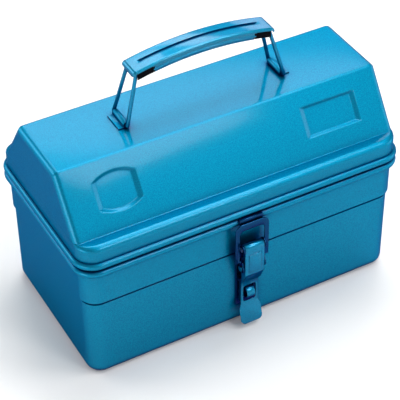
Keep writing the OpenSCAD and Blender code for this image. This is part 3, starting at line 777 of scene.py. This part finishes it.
def grip_stations(high):
    """Stations along the grip's top, as (x, z, inward x, inward z, along), round its curled ends."""
    pivot_x, pivot_z = grip_pivot(high.x, high.z)
    centre_z = high.z - GRIP_ARCH
    tilt_end = math.asin(pivot_x / GRIP_ARCH)
    stations = []
    for side in (-1, 1):
        for t in arc_steps(GRIP_CURL_STEPS):
            turn = math.pi / 2 * t
            nx, nz = side * math.sin(turn), math.cos(turn)
            x, z = side * pivot_x + nx * GRIP_CURL, pivot_z + nz * GRIP_CURL
            stations.append(((x, z, -nx, -nz, side * pivot_x), side * (1 + turn)))
    for i in range(GRIP_ROWS + 1):
        angle = -tilt_end + 2 * tilt_end * i / GRIP_ROWS
        nx, nz = math.sin(angle), math.cos(angle)
        x = GRIP_ARCH * nx
        stations.append(((x, centre_z + GRIP_ARCH * nz, -nx, -nz, x), angle))
    stations.sort(key=lambda item: item[1])
    return [station for station, _ in stations]


def with_skirt_ends(stations):
    """Adds two stations close together where each side skirt ends, so that the step there is upright."""
    out = []
    for here, ahead in zip(stations, stations[1:]):
        out.append(here)
        for edge in (-GRIP_SKIRT_HALF, GRIP_SKIRT_HALF):
            if here[4] < edge < ahead[4]:
                share = (edge - here[4]) / (ahead[4] - here[4])
                between = [a + (b - a) * share for a, b in zip(here[:4], ahead[:4])]
                out.append((*between, edge - SKIRT_END_GAP))
                out.append((*between, edge + SKIRT_END_GAP))
    out.append(stations[-1])
    return out


def grip_section(x, half):
    """Closed section of the cover at a place along it: (y, depth) points, outside first."""
    skirt = GRIP_SKIRT if abs(x) <= GRIP_SKIRT_HALF else GRIP_LIP
    bead = GRIP_BEAD if skirt == GRIP_SKIRT else GRIP_LIP_BEAD
    groove = GRIP_GROOVE_DEPTH * min(1, max(0, (GRIP_GROOVE_HALF - abs(x)) / GRIP_GROOVE_RUN_OUT))
    width, floor = GRIP_GROOVE_WIDTH, GRIP_GROOVE_FLOOR
    hollow_top = min(HOLLOW_TOP, skirt - HOLLOW_TOP_GAP)
    hollow_low = min(HOLLOW_LOW, skirt - HOLLOW_LOW_GAP)
    side = [
        (half, skirt),
        (half, min(hollow_low + bead, skirt - HAIR)),
        (half - bead, hollow_low),
        (half - bead, min(hollow_top + bead, hollow_low - HAIR)),
        (half, hollow_top),
    ]
    outer = filleted(
        [(-y, depth) for y, depth in side]
        + [(-half, 0), (-width, 0), (-floor, groove), (floor, groove), (width, 0), (half, 0)]
        + side[::-1],
        [0, 0, 0, 0, 0, GRIP_ROUND, 0, 0, 0, 0, GRIP_ROUND, 0, 0, 0, 0, 0],
        GRIP_FILLET_STEPS,
    )
    inside, under, bend = half - GRIP_SHEET, groove + GRIP_SHEET, GRIP_ROUND - GRIP_SHEET
    inner = filleted(
        [(-inside, skirt), (-inside, GRIP_SHEET), (-width, GRIP_SHEET), (-floor, under)]
        + [(floor, under), (width, GRIP_SHEET), (inside, GRIP_SHEET), (inside, skirt)],
        [0, bend, 0, 0, 0, 0, bend, 0],
        GRIP_FILLET_STEPS,
    )
    return outer + inner[::-1]


def grip_collar(side, pivot_x, pivot_z, bore):
    """Curl of sheet under the cover that turns round the wire at one end of the grip."""
    vertices, faces = [], []
    for y in (-GRIP_COLLAR_HALF, GRIP_COLLAR_HALF):
        for radius in (GRIP_CURL - COLLAR_INSET, bore):
            for i in range(COLLAR_STEPS + 1):
                angle = math.radians(COLLAR_START + COLLAR_TURN * i / COLLAR_STEPS)
                x = side * (pivot_x + radius * math.cos(angle))
                vertices.append((x, y, pivot_z + radius * math.sin(angle)))
    count = COLLAR_STEPS + 1
    corners = (0, 1, 3, 2)
    for first, second in zip(corners, corners[1:] + corners[:1]):
        bridge(faces, first * count, second * count, count, closed=False)
    for end in (0, COLLAR_STEPS):
        faces.append(tuple(corner * count + end for corner in corners))
    return vertices, faces


def make_grip_cover(paint):
    low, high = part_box("grip_cover")
    half = high.y / MM
    stations = with_skirt_ends(grip_stations(high / MM))
    vertices, faces = [], []
    for x, z, nx, nz, along in stations:
        for y, depth in grip_section(along, half):
            vertices.append((x + nx * depth, y, z + nz * depth))
    count = len(vertices) // len(stations)
    bridge_rows(faces, len(stations), count)
    cap_ends(faces, len(stations), count)
    pivot_x, pivot_z = grip_pivot(high.x / MM, high.z / MM)
    left = grip_collar(-1, pivot_x, pivot_z, GRIP_BORE)
    right = grip_collar(1, pivot_x, pivot_z, GRIP_LOOSE_BORE)
    vertices, faces = joined((vertices, faces), left, right)
    piece = mesh_piece("arched_grip", vertices, faces, "grip", ["grip_cover"], paint)
    weigh_normals(piece, GRIP_SHARP_ANGLE)


# --- Hardware with broken edges ---


def soften(frame, node, body, width, material, close_gap=0.0):
    """Stands for a CAD node with a copy of its mesh whose sharp edges are rounded.

    close_gap moves the end that lies nearest to the middle of the grip inwards, in millimetres.
    """
    mesh = frame["nodes"][node].data.copy()
    work = bmesh.new()
    work.from_mesh(mesh)
    bmesh.ops.remove_doubles(work, verts=work.verts, dist=CAD_SAME_PLACE)
    flat = math.radians(FLAT_ANGLE)
    bmesh.ops.dissolve_limit(work, angle_limit=flat, verts=work.verts, edges=work.edges)
    for vertex in work.verts:
        if close_gap and abs(vertex.co.x) < CLIP_INNER_END:
            vertex.co.x -= math.copysign(close_gap * MM, vertex.co.x)
    for face in work.faces:
        face.smooth = True
    work.to_mesh(mesh)
    work.free()
    mesh.materials.clear()
    mesh.materials.append(material)
    piece = link(bpy.data.objects.new("soft_" + node, mesh))
    edges = piece.modifiers.new("broken_edges", "BEVEL")
    edges.width = width * MM
    edges.segments = BEVEL_SEGMENTS
    edges.limit_method = "ANGLE"
    edges.angle_limit = math.radians(EDGE_ANGLE)
    edges.use_clamp_overlap = False
    edges.harden_normals = True
    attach(piece, body)
    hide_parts(node)


def make_hardware(frame, paint, clip):
    # A darker copy of the paint, which paints shade on the latch's bail, bracket and keeper
    deep = paint_material(*PAINTED_SHADE_PAINT)
    glossy = paint_material(*GLOSSY_PAINT)
    special = dict.fromkeys(PAINTED_SHADE_NODES, deep) | dict.fromkeys(GLOSSY_NODES, glossy)
    for node, body, width in SOFTENED:
        soften(frame, node, body, width, special.get(node, paint))
    for node in ("left_wire_loop", "right_wire_loop"):
        frame["nodes"][node].data.materials[0] = glossy
    # The clips are near-black, as painted shade inside the grip's ends
    for node in ("left_grip_clip", "right_grip_clip"):
        soften(frame, node, "grip", CLIP_BEVEL, clip, CLIP_CLOSES_GAP)


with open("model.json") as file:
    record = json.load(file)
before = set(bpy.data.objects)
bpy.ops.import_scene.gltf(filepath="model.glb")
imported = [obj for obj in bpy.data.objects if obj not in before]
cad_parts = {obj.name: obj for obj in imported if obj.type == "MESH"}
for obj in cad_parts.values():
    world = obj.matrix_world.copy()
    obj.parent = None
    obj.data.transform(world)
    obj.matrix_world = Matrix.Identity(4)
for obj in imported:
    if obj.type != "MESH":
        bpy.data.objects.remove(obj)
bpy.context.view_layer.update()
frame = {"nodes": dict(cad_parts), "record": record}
make_camera()
make_world()
make_floor()
make_lamps()
finishes = set_materials(frame)
make_lid(finishes["paint"])
make_tub(finishes["paint"])
make_tray(finishes["paint"])
make_grip_cover(paint_material(*GRIP_PAINT))
make_hardware(frame, finishes["paint"], finishes["dark_grip_clip"])
bpy.context.scene.view_settings.view_transform = "Standard"
